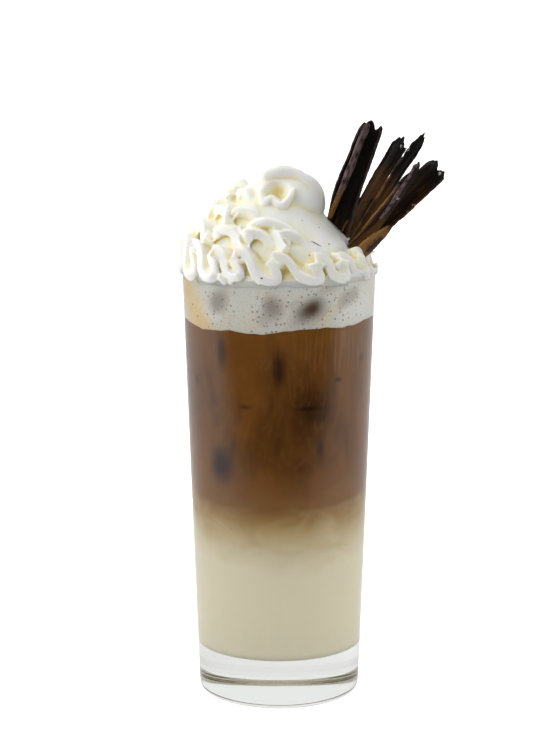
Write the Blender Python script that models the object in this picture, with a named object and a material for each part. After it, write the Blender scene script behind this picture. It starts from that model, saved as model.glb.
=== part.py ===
"""A tall iced latte: milk, coffee and foam in a heavy glass, with piped cream and two charred cinnamon quills.

Metres, +Z up. The origin is the centre of the flat underside of the glass, and -Y is the front.
"""

import math

import bpy
import numpy as np
from mathutils import Vector, noise

MM = 0.001
GAP = 0.3 * MM

# The glass
GLASS_HEIGHT = 157 * MM
RIM_RADIUS = 35.0 * MM
FOOT_RADIUS = 29.5 * MM
HEEL_RADIUS = 3.5 * MM
BASE_THICKNESS = 18 * MM
INNER_CORNER = 3.0 * MM
WALL_AT_RIM = 1.9 * MM
WALL_AT_BASE = 2.8 * MM
GLASS_SIDES = 52

# The drink
MILK_TOP = 66 * MM
COFFEE_TOP = 139 * MM
FOAM_TOP = 155.5 * MM
DRINK_SIDES = 40

# The piped cream
CREAM_VOXEL = 0.75 * MM
CREAM_TRIANGLES = 6000
RUFFLE_SEED = 7.3

# The heart of the mound from the rim upwards, in millimetres: radius, height and how far its middle is to the right.
CORE_OUTLINE = (
    (31.0, 157, -0.5), (30.5, 160, -1.0), (29.5, 165, -2.2), (25.5, 170, -3.0), (21.0, 175, -3.4),
    (17.5, 180, -3.2), (13.5, 185, -1.5), (8.0, 190, 1.0),
)

# The piped ribbons from the rim upwards, in degrees and millimetres.
TIERS = (
    dict(start_angle=-180, sweep=360, centre=(-0.9, 0), root=(26, 26), edge=(34.9, 34.9), height=(160.1, 160.1),
         period=12.0, rise=(3.3, 3.3), lean=1.8, seed=0.0),
    dict(start_angle=-46, sweep=-264, centre=(-2.2, 0), root=(24, 24), edge=(33.4, 33.4), height=(165.8, 166.4),
         period=11.5, rise=(3.9, 3.9), lean=2.0, seed=13.0),
    dict(start_angle=-50, sweep=-250, centre=(-3.2, 0), root=(18, 18), edge=(27.2, 27.0), height=(172.0, 172.6),
         period=11.0, rise=(3.8, 3.4), lean=1.5, seed=21.0),
    dict(start_angle=-105, sweep=-200, centre=(-3.4, 1), root=(13, 13), edge=(21.6, 21.0), height=(177.8, 178.2),
         period=10.0, rise=(3.2, 3.0), lean=1.1, seed=42.0),
    dict(start_angle=-125, sweep=-165, centre=(-2.4, 2), root=(7, 7), edge=(16.6, 16.0), height=(183.4, 184.0),
         period=9.0, rise=(2.5, 2.2), lean=0.8, seed=57.0),
)

# Smooth masses: name, centre, radii and tilt.
MASSES = (
    ("crown", (5.2, 0, 181.5), (11.6, 12.0, 11.4), 15),
    ("slope", (9, -10, 166), (12.5, 12, 8.5), 38),
)

# Smooth folds: name, the points they pass and how thick they are there.
FOLDS = (
    ("curl", ((-4.0, -4.5, 189.2), (-4.4, -5.0, 191.6), (0, -5.5, 192.9), (5.5, -5.6, 192.0), (10.5, -6.5, 189.0),
              (13, -7.5, 183.5)), (1.8, 2.2, 2.4, 2.4, 2.2, 1.4)),
    ("crease", ((-7, -10.8, 187), (-5, -13.0, 182.6), (-2.6, -13.1, 184.7), (0.6, -13.6, 181.4),
                (3.4, -13.2, 184.2), (5.5, -11.8, 188)), (1.2, 1.6, 1.4, 1.6, 1.5, 1.0)),
    ("sweep", ((-10.5, -20.5, 170), (-9.5, -21.5, 174.8), (-4, -22.6, 176.6), (3.6, -23, 173.2), (10.4, -23.5, 166.6),
               (15.5, -22.5, 162)), (1.4, 1.8, 2.0, 2.0, 1.9, 1.4)),
)

# The hollow under the curl: its middle, how wide it is and how deep.
HOLLOW = ((0.4, -11.8, 187.2), 4.8, 4.5)

# The cinnamon bark
BARK_THICKNESS = 1.5 * MM
BARK_ACROSS = 10
BARK_ALONG = 24
BARK_VOXEL = 0.35 * MM
LEFT_TRIANGLES = 900
RIGHT_TRIANGLES = 1500


def clear_scene():
    for obj in list(bpy.data.objects):
        bpy.data.objects.remove(obj)


def material(name, colour, roughness, metallic=0.0, transmission=0.0):
    made = bpy.data.materials.new(name)
    made.use_nodes = True
    shader = made.node_tree.nodes["Principled BSDF"]
    shader.inputs["Base Color"].default_value = (*colour, 1.0)
    shader.inputs["Roughness"].default_value = roughness
    shader.inputs["Metallic"].default_value = metallic
    shader.inputs["Transmission Weight"].default_value = transmission
    return made


def mesh_object(name, points, faces, finish=None, smooth=True):
    mesh = bpy.data.meshes.new(name)
    mesh.from_pydata([tuple(p) for p in points], [], faces)
    mesh.validate()
    if smooth:
        mesh.shade_smooth()
        mesh.set_sharp_from_angle(angle=math.radians(35))
    if finish:
        mesh.materials.append(finish)
    made = bpy.data.objects.new(name, mesh)
    bpy.context.scene.collection.objects.link(made)
    return made


def smooth_step(x, low=0.0, high=1.0):
    t = min(1.0, max(0.0, (x - low) / (high - low)))
    return t * t * (3 - 2 * t)


def arc(centre, radius, start, end, steps):
    """Points of a round corner, with its angles in degrees."""
    angles = [math.radians(start + (end - start) * i / steps) for i in range(steps + 1)]
    return [(centre[0] + radius * math.cos(a), centre[1] + radius * math.sin(a)) for a in angles]


def turned(name, profile, sides, finish=None, lift=None):
    """A profile of (radius, height) turned round Z. Its ends lie on the axis, and lift(x, y, z, i) raises a point."""
    inner = profile[1:-1]
    points = [(0.0, 0.0, profile[0][1]), (0.0, 0.0, profile[-1][1])]
    for r, z in inner:
        for k in range(sides):
            a = 2 * math.pi * k / sides
            points.append((r * math.cos(a), r * math.sin(a), z))
    if lift:
        rows = [0, len(profile) - 1] + [1 + i // sides for i in range(sides * len(inner))]
        points = [(x, y, z + lift(x, y, z, row)) for (x, y, z), row in zip(points, rows)]

    def at(row, k):
        return 2 + row * sides + k % sides

    last = len(inner) - 1
    faces = [(0, at(0, k + 1), at(0, k)) for k in range(sides)]
    for row in range(last):
        for k in range(sides):
            faces.append((at(row, k), at(row, k + 1), at(row + 1, k + 1), at(row + 1, k)))
    faces += [(1, at(last, k), at(last, k + 1)) for k in range(sides)]
    return mesh_object(name, points, faces, finish)


def outer_radius(z):
    return FOOT_RADIUS + (RIM_RADIUS - FOOT_RADIUS) * z / GLASS_HEIGHT


def inner_radius(z):
    wall = WALL_AT_BASE + (WALL_AT_RIM - WALL_AT_BASE) * z / GLASS_HEIGHT
    return outer_radius(z) - wall


def make_glass(finish):
    """A tapered tumbler with a thick solid base, a rounded heel and a fire-polished rim."""
    lip = WALL_AT_RIM / 2
    lip_centre = (RIM_RADIUS - lip, GLASS_HEIGHT - lip)
    corner_z = BASE_THICKNESS + INNER_CORNER
    corner_r = inner_radius(corner_z) - INNER_CORNER
    profile = [(0.0, 0.0), (FOOT_RADIUS * 0.5, 0.0)]
    profile += arc((FOOT_RADIUS - HEEL_RADIUS, HEEL_RADIUS), HEEL_RADIUS, -90, 0, 4)
    profile += [(outer_radius(z), z) for z in (50 * MM, 100 * MM)]
    profile += arc(lip_centre, lip, 0, 180, 4)
    profile += [(inner_radius(z), z) for z in (100 * MM, 50 * MM)]
    profile += arc((corner_r, corner_z), INNER_CORNER, 0, -90, 3)
    profile += [(corner_r * 0.5, BASE_THICKNESS), (0.0, BASE_THICKNESS)]
    return turned("glass", profile, GLASS_SIDES, finish)


def foam_wave(x, y):
    """How far the coffee's top stands above its mean level: the foam sinks into it at the front."""
    angle = math.atan2(y, x)
    rim = min(1.0, math.hypot(x, y) / inner_radius(COFFEE_TOP))
    front = max(0.0, math.cos(angle + math.radians(98)))
    return (0.6 - 2.3 * front * front + 0.35 * math.sin(5 * angle + 1)) * MM * rim * rim


def layer_profile(low, high, round_bottom=False):
    """One layer of the drink: its flat bottom, its wall inside the glass and its flat top."""
    wall_steps = 5
    shares = (0.35, 0.7)
    foot = low + INNER_CORNER if round_bottom else low
    bottom_r = inner_radius(foot) - GAP
    if round_bottom:
        corner = arc((bottom_r - INNER_CORNER, foot), INNER_CORNER, -90, 0, 3)
    else:
        corner = [(bottom_r, low)]
    wall = [low + (high - low) * i / wall_steps for i in range(1, wall_steps + 1)]
    profile = [(0.0, low)] + [(corner[0][0] * s, low) for s in shares] + corner
    profile += [(inner_radius(z) - GAP, z) for z in wall if z > foot]
    profile += [(profile[-1][0] * s, high) for s in reversed(shares)] + [(0.0, high)]
    return profile


def make_drink(milk, coffee, foam):
    low = BASE_THICKNESS + GAP
    turned("milk_layer", layer_profile(low, MILK_TOP, round_bottom=True), DRINK_SIDES, milk)

    def coffee_lift(x, y, z, row):
        return foam_wave(x, y) * smooth_step(z, COFFEE_TOP - 40 * MM, COFFEE_TOP)

    turned("coffee_layer", layer_profile(MILK_TOP + GAP, COFFEE_TOP), DRINK_SIDES, coffee, coffee_lift)

    def foam_lift(x, y, z, row):
        return foam_wave(x, y) * (1 - smooth_step(z, COFFEE_TOP, FOAM_TOP - 2 * MM))

    turned("foam_layer", layer_profile(COFFEE_TOP + GAP, FOAM_TOP), DRINK_SIDES, foam, foam_lift)


def sheet(name, surface, across, along, half, finish=None, margin=0.0, closed=False):
    """A closed solid round a curved middle surface(u, v), with u from -1 to 1, v from 0 to 1 and half(u, v) its half
    thickness. margin lengthens it past both ends, and a closed sheet joins its end to its start."""
    step = 0.004
    columns = [2 * i / across - 1 for i in range(across + 1)]
    if closed:
        rows = [j / along for j in range(along)]
    else:
        rows = [-margin + (1 + 2 * margin) * j / along for j in range(along + 1)]
    upper, lower = [], []
    for v in rows:
        for u in columns:
            here = Vector(surface(u, v))
            ahead = Vector(surface(u, v + step)) - Vector(surface(u, v - step))
            sideways = Vector(surface(u + step, v)) - Vector(surface(u - step, v))
            normal = sideways.cross(ahead).normalized()
            upper.append(here + normal * half(u, v))
            lower.append(here - normal * half(u, v))
    wide = len(columns)
    count = len(upper)
    faces = []

    def at(row, column):
        return (row % len(rows)) * wide + column

    def quad(a, b, c, d):
        return [(a, b, c), (a, c, d)]

    for j in range(along):
        for i in range(across):
            a, b, c, d = at(j, i), at(j, i + 1), at(j + 1, i + 1), at(j + 1, i)
            faces += quad(a, b, c, d)
            faces += quad(count + a, count + d, count + c, count + b)
        for i, flip in ((0, False), (across, True)):
            a, b = at(j, i), at(j + 1, i)
            faces += quad(b, a, count + a, count + b) if flip else quad(a, b, count + b, count + a)
    if not closed:
        for i in range(across):
            a, b = at(0, i), at(0, i + 1)
            faces += quad(b, a, count + a, count + b)
            a, b = at(along, i), at(along, i + 1)
            faces += quad(a, b, count + b, count + a)
    return mesh_object(name, upper + lower, faces, finish)


def ruffle(start_angle, sweep, centre, root, edge, height, period, rise, lean, seed, thick=(1.7, 0.95)):
    """A ribbon of piped cream whose free edge folds up and down in loops as it goes round the mound.

    Angles are in degrees and lengths in millimetres. root and edge are its inner and outer radius, rise is how far
    its edge swings, and each of these and height is a pair (at the start, at the end).
    """
    mean_edge = (edge[0] + edge[1]) / 2
    folds = round(abs(math.radians(sweep)) * mean_edge / period)
    closed = sweep >= 360
    turn = math.copysign(1.0, sweep)

    def along(pair, t):
        return pair[0] + (pair[1] - pair[0]) * t

    def phase(t):
        return 2 * math.pi * (folds * t + 0.3 * ring_noise(t, seed, folds * 0.4))

    def surface(u, t):
        w = max(0.0, (u + 1) / 2)
        swing = math.sin(phase(t))
        uneven = ring_noise(t, seed + 3.1, folds * 0.5)
        reach = along(rise, t) * (1 + 0.42 * uneven)
        loop = -0.135 * period * math.sin(2 * phase(t)) - turn * lean * swing
        angle = math.radians(start_angle + sweep * t) + turn * w * w * loop / mean_edge
        r = along(root, t) + (along(edge, t) - along(root, t)) * w
        r += w * (0.9 * ring_noise(t, seed + 6.7, folds * 0.4) - 0.22 * reach * swing)
        z = along(height, t) + w ** 1.4 * reach * swing + w * 0.7 * ring_noise(t, seed + 9.2, folds * 0.4)
        return ((centre[0] + r * math.cos(angle)) * MM, (centre[1] + r * math.sin(angle)) * MM, z * MM)

    def half(u, t):
        w = max(0.0, (u + 1) / 2)
        rounded = math.sqrt(max(0.0, 1 - max(0.0, (w - 0.86) / 0.14) ** 2))
        return (thick[0] + (thick[1] - thick[0]) * w) * (0.35 + 0.65 * rounded) * MM

    return sheet("ruffle", surface, 8, folds * 18, half, closed=closed)


def ring_noise(t, seed, cycles):
    """A smooth random value from -1 to 1 that comes back to its start when t goes from 0 to 1."""
    a = 2 * math.pi * t
    r = cycles / (2 * math.pi)
    return max(-1.0, min(1.0, 1.8 * noise.noise(Vector((r * math.cos(a), r * math.sin(a), RUFFLE_SEED + seed)))))


def rope(name, knots, radii, sides=14, steps=28):
    """A smooth rounded rope of cream through the knots, in millimetres, as thick as radii say at each of them."""
    count = len(knots) - 1

    def at_knots(values, t):
        x = min(max(t, 0.0), 1.0) * count
        i = min(int(x), count - 1)
        f = x - i
        p0, p1 = values[max(i - 1, 0)], values[i]
        p2, p3 = values[i + 1], values[min(i + 2, count)]
        m1, m2 = (p2 - p0) * 0.5, (p3 - p1) * 0.5
        return p1 * (2 * f**3 - 3 * f**2 + 1) + m1 * (f**3 - 2 * f**2 + f) + p2 * (3 * f**2 - 2 * f**3) + m2 * (
            f**3 - f**2)

    points = [Vector(k) * MM for k in knots]
    path = [at_knots(points, i / steps) for i in range(steps + 1)]
    across = Vector((0.2, 0.1, 1.0))
    rings = []
    for i in range(1, steps):
        tangent = (path[i + 1] - path[i - 1]).normalized()
        across = (across - tangent * across.dot(tangent)).normalized()
        beside = tangent.cross(across)
        ends = min(i, steps - i) / 2.5
        r = at_knots([q * MM for q in radii], i / steps) * math.sqrt(1 - (1 - min(1.0, ends)) ** 2)
        rings.append([path[i] + (across * math.cos(a) + beside * math.sin(a)) * r
                      for a in (2 * math.pi * k / sides for k in range(sides))])
    vertices = [path[0]] + [p for ring in rings for p in ring] + [path[-1]]

    def at(row, k):
        return 1 + row * sides + k % sides

    end = len(vertices) - 1
    last = len(rings) - 1
    faces = [(0, at(0, k + 1), at(0, k)) for k in range(sides)]
    for row in range(last):
        for k in range(sides):
            faces.append((at(row, k), at(row, k + 1), at(row + 1, k + 1), at(row + 1, k)))
    faces += [(end, at(last, k), at(last, k + 1)) for k in range(sides)]
    return mesh_object(name, vertices, faces)


def blob(name, centre, radii, tilt=0.0):
    """A smooth mass of cream: an ellipsoid in millimetres, turned by tilt degrees in the view from the front."""
    bpy.ops.mesh.primitive_uv_sphere_add(segments=32, ring_count=20, radius=MM, location=Vector(centre) * MM)
    made = bpy.context.object
    made.name = name
    made.scale = radii
    made.rotation_euler = (0.0, math.radians(tilt), 0.0)
    bpy.ops.object.transform_apply(location=False, rotation=True, scale=True)
    return made


def cream_core():
    """The heart of the mound, under the piped ribbons. Its seat fills the mouth of the glass."""
    profile = [(0.0, FOAM_TOP - 4 * MM), (31 * MM, FOAM_TOP - 4 * MM)]
    profile += [(r * MM, z * MM) for r, z, _ in CORE_OUTLINE]
    profile += [(0.0, (CORE_OUTLINE[-1][1] + 1) * MM)]
    made = turned("core", profile, 48)
    heights = [z for _, z, _ in CORE_OUTLINE]
    shifts = [x for _, _, x in CORE_OUTLINE]
    for point in made.data.vertices:
        point.co.x += np.interp(point.co.z / MM, heights, shifts) * MM
    return made


def cream_shapes():
    """Everything that is fused into the whipped cream, from the rim to the top."""
    shapes = [cream_core()]
    shapes += [ruffle(**tier) for tier in TIERS]
    shapes += [blob(*mass) for mass in MASSES]
    shapes += [rope(name, knots, radii) for name, knots, radii in FOLDS]
    return shapes


def press_hollow(cream):
    """Presses the hollow under the curl into the finished skin."""
    middle, wide, deep = HOLLOW
    inward = Vector((0.1, 1.0, -0.25)).normalized()
    for point in cream.data.vertices:
        away = (point.co - Vector(middle) * MM).length / (wide * MM)
        if away < 1:
            point.co += inward * (deep * MM * (1 - away * away) ** 2)


def applied(obj):
    """Turns the object's modifiers into its mesh."""
    graph = bpy.context.evaluated_depsgraph_get()
    mesh = bpy.data.meshes.new_from_object(obj.evaluated_get(graph))
    obj.modifiers.clear()
    obj.data = mesh
    return obj


def fused(name, shapes, voxel):
    """Joins overlapping shapes into one skin."""
    for obj in bpy.context.selected_objects:
        obj.select_set(False)
    for obj in shapes:
        obj.select_set(True)
    bpy.context.view_layer.objects.active = shapes[0]
    bpy.ops.object.join()
    made = bpy.context.object
    made.name = name
    bpy.ops.object.transform_apply(location=True, rotation=True, scale=True)
    skin = made.modifiers.new("skin", "REMESH")
    skin.mode = "VOXEL"
    skin.voxel_size = voxel
    skin.adaptivity = 0.0
    return applied(made)


def stave(name, foot, tip, side, widths, curl, opening, bow, peak, thickness, grow=0.0, seed=0.0):
    """One strip of curled bark from foot to tip.

    side is the strip's depth at its tip against its foot. widths are half widths at the foot, middle and tip.
    curl is the half angle of its hollow at the foot and tip, and opening turns the hollow from the front.
    bow bends it sideways, peak is how far its corners fall short of its point, and grow widens it into a cutter.
    """
    start = Vector(foot) * MM
    end = Vector((tip[0], foot[1] + side, tip[1])) * MM
    length = (end - start).length
    axis = (end - start).normalized()
    front = Vector((0.0, -1.0, 0.0))
    across = front.cross(axis).normalized() * -1.0
    outward = axis.cross(across).normalized()
    if outward.y > 0:
        outward = -outward
    turn = math.radians(opening)
    beside = across * math.cos(turn) + outward * math.sin(turn)
    towards = outward * math.cos(turn) - across * math.sin(turn)

    def surface(u, v):
        width = widths[0] + (widths[1] - widths[0]) * min(1.0, 2 * v)
        width += (widths[2] - widths[1]) * max(0.0, 2 * v - 1)
        width += 0.35 * v * noise.noise(Vector((9 * v, u * 1.3, seed)))
        angle = math.radians(curl[0] + (curl[1] - curl[0]) * v)
        radius = width / math.sin(min(angle, math.pi / 2))
        u = u * (1 + grow / (width * MM))
        reach = 1 - v * (peak * abs(u) ** 1.6 + 0.05 * noise.noise(Vector((u * 3.1, seed, 4.0))))
        place = start + axis * (length * v * reach)
        place += across * (bow * math.sin(math.pi * v) * MM)
        place += beside * (radius * math.sin(u * angle) * MM)
        return place - towards * (radius * (math.cos(u * angle) - math.cos(angle)) * MM)

    def half(u, v):
        return (thickness * MM / 2) * (1 - 0.35 * abs(u) ** 4) + grow

    return sheet(name, surface, BARK_ACROSS, BARK_ALONG, half, margin=grow / length)


# Each strip of bark in millimetres, seen from the front: across, depth and height.
LEFT_QUILL = (
    dict(foot=(18.5, -2.0, 161.0), tip=(33.6, 209.8), side=-1.0, widths=(4.2, 4.5, 3.6), curl=(75, 100),
         opening=5, bow=-1.4, peak=0.05, seed=1.0),
    dict(foot=(20.5, -0.5, 161.0), tip=(44.8, 204.0), side=3.0, widths=(3.6, 3.3, 3.0), curl=(50, 40),
         opening=-30, bow=-0.4, peak=0.06, seed=2.0),
)
RIGHT_QUILL = (
    dict(foot=(21.5, -8.0, 159.0), tip=(51.6, 206.6), side=5.0, widths=(2.8, 2.5, 1.5), curl=(55, 45),
         opening=20, bow=-0.5, peak=0.10, seed=3.0),
    dict(foot=(22.5, -9.0, 159.0), tip=(46.8, 192.4), side=2.0, widths=(3.0, 2.7, 1.8), curl=(50, 55),
         opening=-20, bow=0.4, peak=0.10, seed=4.0),
    dict(foot=(22.6, -9.5, 158.5), tip=(57.6, 195.0), side=1.0, widths=(3.4, 4.0, 4.4), curl=(95, 85),
         opening=-15, bow=0.2, peak=0.05, seed=5.0),
    dict(foot=(36.4, -10.0, 176.2), tip=(49.6, 196.6), side=0.5, widths=(1.3, 1.5, 0.8), curl=(40, 30),
         opening=10, bow=0.4, peak=0.10, seed=6.0),
)


def thinned(obj, triangles):
    """Leaves about so many triangles in a fine skin."""
    split = obj.modifiers.new("triangles", "TRIANGULATE")
    split.quad_method = "BEAUTY"
    thin = obj.modifiers.new("thin", "DECIMATE")
    thin.ratio = triangles / (2 * len(obj.data.polygons))
    return applied(obj)


def make_quill(name, strips, triangles, finish, grow=0.0):
    """One quill: strips of bark that join at the foot."""
    made = [stave(f"{name}_strip_{i}", thickness=BARK_THICKNESS / MM, grow=grow, **strip)
            for i, strip in enumerate(strips)]
    quill = thinned(fused(name, made, BARK_VOXEL), triangles)
    quill.data.materials.clear()
    quill.data.materials.append(finish)
    return quill


def rim_cutter():
    """What the cream must stay clear of: the drink in the glass, and the wall and rim round it."""
    seat = FOAM_TOP + GAP
    low = 130 * MM
    mouth = inner_radius(GLASS_HEIGHT) - GAP
    outside = RIM_RADIUS + GAP
    top = GLASS_HEIGHT + GAP
    profile = [(0.0, low), (outer_radius(low) + GAP, low), (outside, top - 0.6 * MM), (outside - 0.6 * MM, top)]
    profile += [(mouth + 0.4 * MM, top), (mouth, top - 0.4 * MM), (mouth, seat), (0.0, seat)]
    return turned("rim_cutter", profile, GLASS_SIDES)


def cut(obj, cutter):
    trim = obj.modifiers.new("cut", "BOOLEAN")
    trim.operation = "DIFFERENCE"
    trim.object = cutter
    trim.solver = "EXACT"
    applied(obj)
    bpy.data.objects.remove(cutter)


def make_cream(finish):
    cream = fused("whipped_cream", cream_shapes(), CREAM_VOXEL)
    press_hollow(cream)
    thinned(cream, CREAM_TRIANGLES)
    cut(cream, rim_cutter())
    room = GAP + 0.2 * MM
    cut(cream, make_quill("left_cutter", LEFT_QUILL, LEFT_TRIANGLES, finish, grow=room))
    cut(cream, make_quill("right_cutter", RIGHT_QUILL, RIGHT_TRIANGLES, finish, grow=room))
    cream.data.materials.clear()
    cream.data.materials.append(finish)
    return cream


def main():
    clear_scene()
    clear_glass = material("clear glass", (0.9, 0.94, 0.93), 0.03, transmission=1.0)
    milk = material("milk", (0.74, 0.69, 0.54), 0.4)
    coffee = material("milky coffee", (0.16, 0.07, 0.02), 0.3)
    froth = material("milk foam", (0.66, 0.62, 0.54), 0.6)
    whipped = material("whipped cream", (0.91, 0.89, 0.8), 0.5)
    bark = material("cinnamon bark", (0.12, 0.06, 0.025), 0.8)
    make_glass(clear_glass)
    make_drink(milk, coffee, froth)
    make_cream(whipped)
    make_quill("left_quill", LEFT_QUILL, LEFT_TRIANGLES, bark)
    make_quill("right_quill", RIGHT_QUILL, RIGHT_TRIANGLES, bark)


main()
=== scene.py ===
# %% [markdown]
# # An iced layered latte
#
# The drink is a heavy glass with milk, coffee and foam in layers, piped cream over the rim and two charred
# cinnamon quills. The solid model comes first as a fixed frame, and each piece below is dressed in its
# place.

# %% Load the frame
import math

import bpy
import numpy as np
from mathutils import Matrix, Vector, noise


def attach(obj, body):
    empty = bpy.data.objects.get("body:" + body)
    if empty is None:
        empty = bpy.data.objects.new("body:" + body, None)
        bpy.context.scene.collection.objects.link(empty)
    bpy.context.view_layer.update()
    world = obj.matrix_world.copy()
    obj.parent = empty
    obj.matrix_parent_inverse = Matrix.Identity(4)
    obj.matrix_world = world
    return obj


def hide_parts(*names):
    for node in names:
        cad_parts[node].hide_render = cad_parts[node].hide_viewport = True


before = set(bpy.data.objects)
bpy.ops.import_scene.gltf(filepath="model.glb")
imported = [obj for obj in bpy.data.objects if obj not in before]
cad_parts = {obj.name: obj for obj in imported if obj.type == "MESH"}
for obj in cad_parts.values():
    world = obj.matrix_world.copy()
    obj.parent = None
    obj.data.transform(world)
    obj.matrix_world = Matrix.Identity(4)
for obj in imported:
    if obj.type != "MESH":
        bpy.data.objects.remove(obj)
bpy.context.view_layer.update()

# %% [markdown]
# ## Sizes
#
# Every size is real, in metres. The glass is a tapered tumbler, and its inner wall sets the sizes of the
# drink, so two small functions give the radius of the glass at a height, outside and inside.

# %% Sizes of the glass and the drink
MM = 0.001
GLASS_HEIGHT = 157 * MM
RIM_RADIUS = 35 * MM
FOOT_RADIUS = 29.5 * MM
HEEL_RADIUS = 3.5 * MM
BASE_THICKNESS = 18 * MM
INNER_CORNER = 3 * MM
WALL_AT_RIM = 1.9 * MM
WALL_AT_BASE = 2.8 * MM
COFFEE_TOP = 139 * MM
FOAM_TOP = 155.5 * MM


def outer_radius(z):
    return FOOT_RADIUS + (RIM_RADIUS - FOOT_RADIUS) * z / GLASS_HEIGHT


def inner_radius(z):
    return outer_radius(z) - WALL_AT_BASE - (WALL_AT_RIM - WALL_AT_BASE) * z / GLASS_HEIGHT


print("wall", round(1000 * (outer_radius(0.1) - inner_radius(0.1)), 2), "mm at 100 mm up")

# %% [markdown]
# ## Helpers
#
# A colour is written as the hex value a paint program shows, and turned to linear light once. One function
# adds any node with its settings and its links, for materials and for geometry alike. Short ones built on
# it name what comes again and again: a calculation, a mix of two colours, a change of range, a ramp, a
# noise. Another makes a mesh object from points.

# %% Colour, node and mesh helpers
def paint(code):
    """A colour written as a hex value, in linear light with full alpha."""
    parts = [int(code[i:i + 2], 16) / 255 for i in (1, 3, 5)]
    return [c / 12.92 if c <= 0.04045 else ((c + 0.055) / 1.055) ** 2.4 for c in parts] + [1.0]


def set_up(thing, settings):
    for name, value in settings.items():
        setattr(thing, name, value)
    return thing


def fill(tree, node, inputs):
    """Sets inputs of a node. Each is a number, a colour, a socket, or a node whose first output it takes."""
    for name, value in inputs.items():
        if isinstance(value, bpy.types.Node):
            value = value.outputs[0]
        if isinstance(value, bpy.types.NodeSocket):
            tree.links.new(value, node.inputs[name])
        else:
            node.inputs[name].default_value = value
    return node


def add(tree, kind, settings=None, inputs=None):
    """A new node with its settings and its inputs."""
    return fill(tree, set_up(tree.nodes.new(kind), settings or {}), inputs or {})


def calc(tree, operation, *values, **settings):
    """A calculation with its values in order."""
    return add(tree, "ShaderNodeMath", {"operation": operation, **settings}, dict(enumerate(values)))


def mixed(tree, share, first, second, **settings):
    """The colour between two others. Each is a hex value, four numbers, a node or a socket."""
    first, second = [paint(c) if isinstance(c, str) else c for c in (first, second)]
    made = add(tree, "ShaderNodeMix", {"data_type": "RGBA", **settings}, {0: share, 6: first, 7: second})
    return made.outputs[2]


def between(tree, share, first, second):
    """The number between two others."""
    return add(tree, "ShaderNodeMix", {"data_type": "FLOAT"}, {0: share, 2: first, 3: second})


def spread(tree, value, low, high, to_low=0.0, to_high=1.0, **settings):
    """A change of range, in which low becomes to_low and high becomes to_high."""
    return add(tree, "ShaderNodeMapRange", settings, {
        "Value": value, "From Min": low, "From Max": high, "To Min": to_low, "To Max": to_high})


def ramp(tree, value, first, *middle_and_last):
    """A colour for each value, from stops of (position, hex value)."""
    made = add(tree, "ShaderNodeValToRGB", inputs={"Fac": value})
    *middle, last = middle_and_last
    for end, (spot, code) in zip(list(made.color_ramp.elements), (first, last)):
        end.position = spot
        end.color = paint(code)
    for spot, code in middle:
        made.color_ramp.elements.new(spot).color = paint(code)
    return made


def noisy(tree, place, scale, detail, **more):
    return add(tree, "ShaderNodeTexNoise", inputs={"Vector": place, "Scale": scale, "Detail": detail, **more})


def scaled(tree, place, factors):
    return add(tree, "ShaderNodeMapping", inputs={"Vector": place, "Scale": factors})


def axes(tree, vector):
    return add(tree, "ShaderNodeSeparateXYZ", inputs={0: vector}).outputs


def stored(tree, name):
    """The number that each point of the mesh keeps under this name."""
    return add(tree, "ShaderNodeAttribute", {"attribute_name": name}).outputs["Fac"]


def finish_named(name, **sockets):
    """A material with one Principled shader, and the tree it is painted in."""
    made = bpy.data.materials.new(name)
    made.use_nodes = True
    shader = made.node_tree.nodes["Principled BSDF"]
    fill(made.node_tree, shader, {socket.replace("_", " "): value for socket, value in sockets.items()})
    return made, made.node_tree, shader


def placed(name, data):
    """A new object in the scene."""
    made = bpy.data.objects.new(name, data)
    bpy.context.scene.collection.objects.link(made)
    return made


def mesh_object(name, points, faces, finish=None):
    mesh = bpy.data.meshes.new(name)
    mesh.from_pydata([tuple(p) for p in points], [], faces)
    mesh.validate()
    mesh.shade_smooth()
    if finish:
        mesh.materials.append(finish)
    return placed(name, mesh)


def modify(obj, kind, **settings):
    """Adds a modifier with its settings."""
    return set_up(obj.modifiers.new(kind.lower(), kind), settings)


def baked(obj):
    """The same object, with its modifiers turned into a plain mesh."""
    graph = bpy.context.evaluated_depsgraph_get()
    mesh = bpy.data.meshes.new_from_object(obj.evaluated_get(graph), depsgraph=graph)
    obj.modifiers.clear()
    obj.data = mesh
    return obj


def triangles(obj):
    obj.data.calc_loop_triangles()
    return len(obj.data.loop_triangles)


print("cream white is", [round(c, 3) for c in paint("#f7f5ec")])

# %% [markdown]
# ## Camera
#
# The picture was taken from a little above the rim, about 0.8 m away, with a long lens. The numbers were
# fitted to the outline of the glass: its rim, its taper and the ellipse of its base.

# %% Camera
CAMERA_AWAY = 0.817
CAMERA_ASIDE = 0.36 * MM
CAMERA_HEIGHT = 0.265
CAMERA_PITCH = 10.14
CAMERA_LENS = 2274 * 36 / 746

camera = placed("camera", bpy.data.cameras.new("camera"))
camera.location = (CAMERA_ASIDE, -CAMERA_AWAY, CAMERA_HEIGHT)
camera.rotation_euler = (math.radians(90 - CAMERA_PITCH), 0, 0)
camera.data.lens = CAMERA_LENS
camera.data.clip_start = 0.01
bpy.context.scene.camera = camera
print("lens", round(CAMERA_LENS, 1), "mm")

# %% [markdown]
# ## Light
#
# The glass stands on a white table in a white room, as for a menu picture. The room is bright behind and
# beside the drink, where it shows in the glass as a soft veil, and dark behind the camera, so that the
# middle of the coffee stays deep. Light that reaches the drink through the glass is stronger from both
# sides. Large lamps at the sides, above and in front shape the cream. They don't show in the glass, because
# a sharp reflection would cut across the layers. The table darkens towards the camera for the same reason,
# but to the camera both table and room are plain white.

# %% Room, lamps and table
ROOM = 0.72
ROOM_LEFT = 0.25
ROOM_FRONT = -0.74
ROOM_SEEN_THROUGH_GLASS = 0.85
ROOM_ON_DRINK = 0.82
ROOM_ON_DRINK_SIDES = 1.6
ROOM_TO_CAMERA = 1.02
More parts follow.
